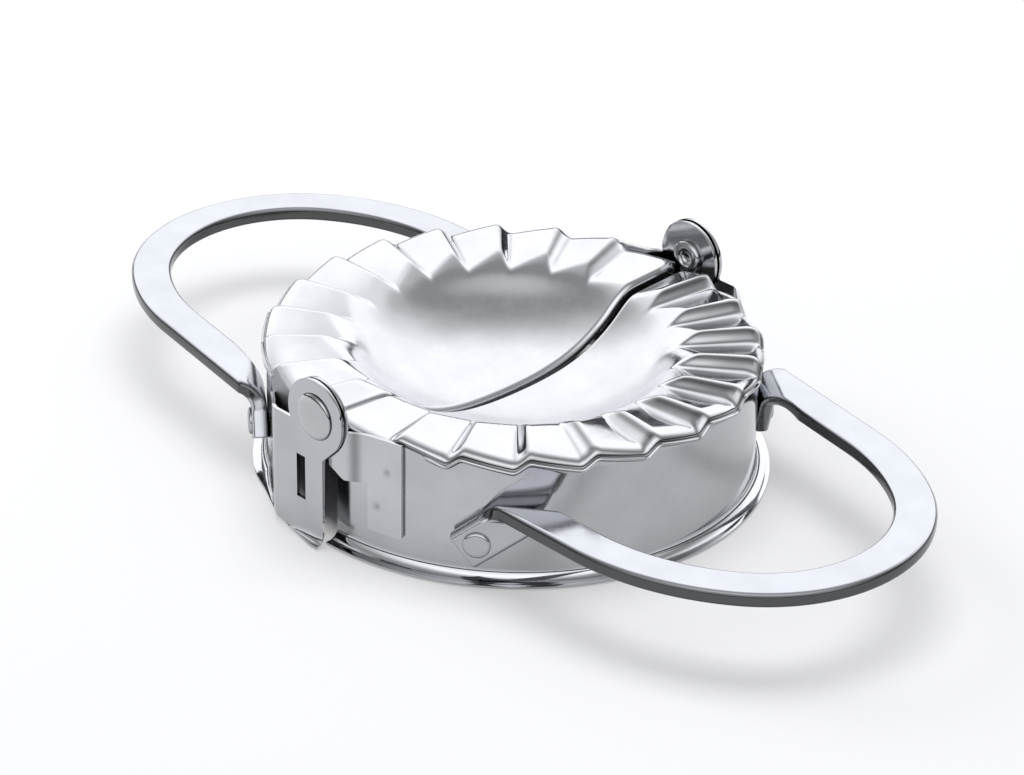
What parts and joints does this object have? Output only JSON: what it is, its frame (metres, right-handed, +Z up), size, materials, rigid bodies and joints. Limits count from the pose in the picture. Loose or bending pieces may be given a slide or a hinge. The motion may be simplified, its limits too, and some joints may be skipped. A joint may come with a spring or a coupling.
{
  "type": "empanada press",
  "caption": "Hand press for filled pastry: two crimped steel half shells with loop handles fold on a hinge line to crimp and cut a round of dough.",
  "frame": {"origin": "on the bench, under the middle of the press laid open", "axes": "+X from the hinge line to the right handle, +Y along the hinge line away from the viewer, +Z up"},
  "size_m": [0.1616, 0.086, 0.0287],
  "materials": {
    "sheet_steel": "polished stainless sheet",
    "bar_steel": "polished stainless bar",
    "rivet_steel": "plain bright steel"
  },
  "bodies": {
    "left_half": {"left_shell": "sheet_steel", "left_hinge_strap": "sheet_steel", "front_hinge_rivet": "rivet_steel", "back_hinge_rivet": "rivet_steel", "front_hinge_washer": "rivet_steel", "back_hinge_washer": "rivet_steel", "left_handle": "bar_steel", "left_handle_front_rivet": "rivet_steel", "left_handle_back_rivet": "rivet_steel"},
    "right_half": {"right_shell": "sheet_steel", "right_hinge_strap": "sheet_steel", "right_handle": "bar_steel", "right_handle_front_rivet": "rivet_steel", "right_handle_back_rivet": "rivet_steel"}
  },
  "joints": [
    {"name": "fold", "type": "hinge", "parent": "left_half", "child": "right_half", "pos_m": [0, 0, 0.0225], "axis": [0, -1, 0], "range_deg": [0, 180]}
  ]
}
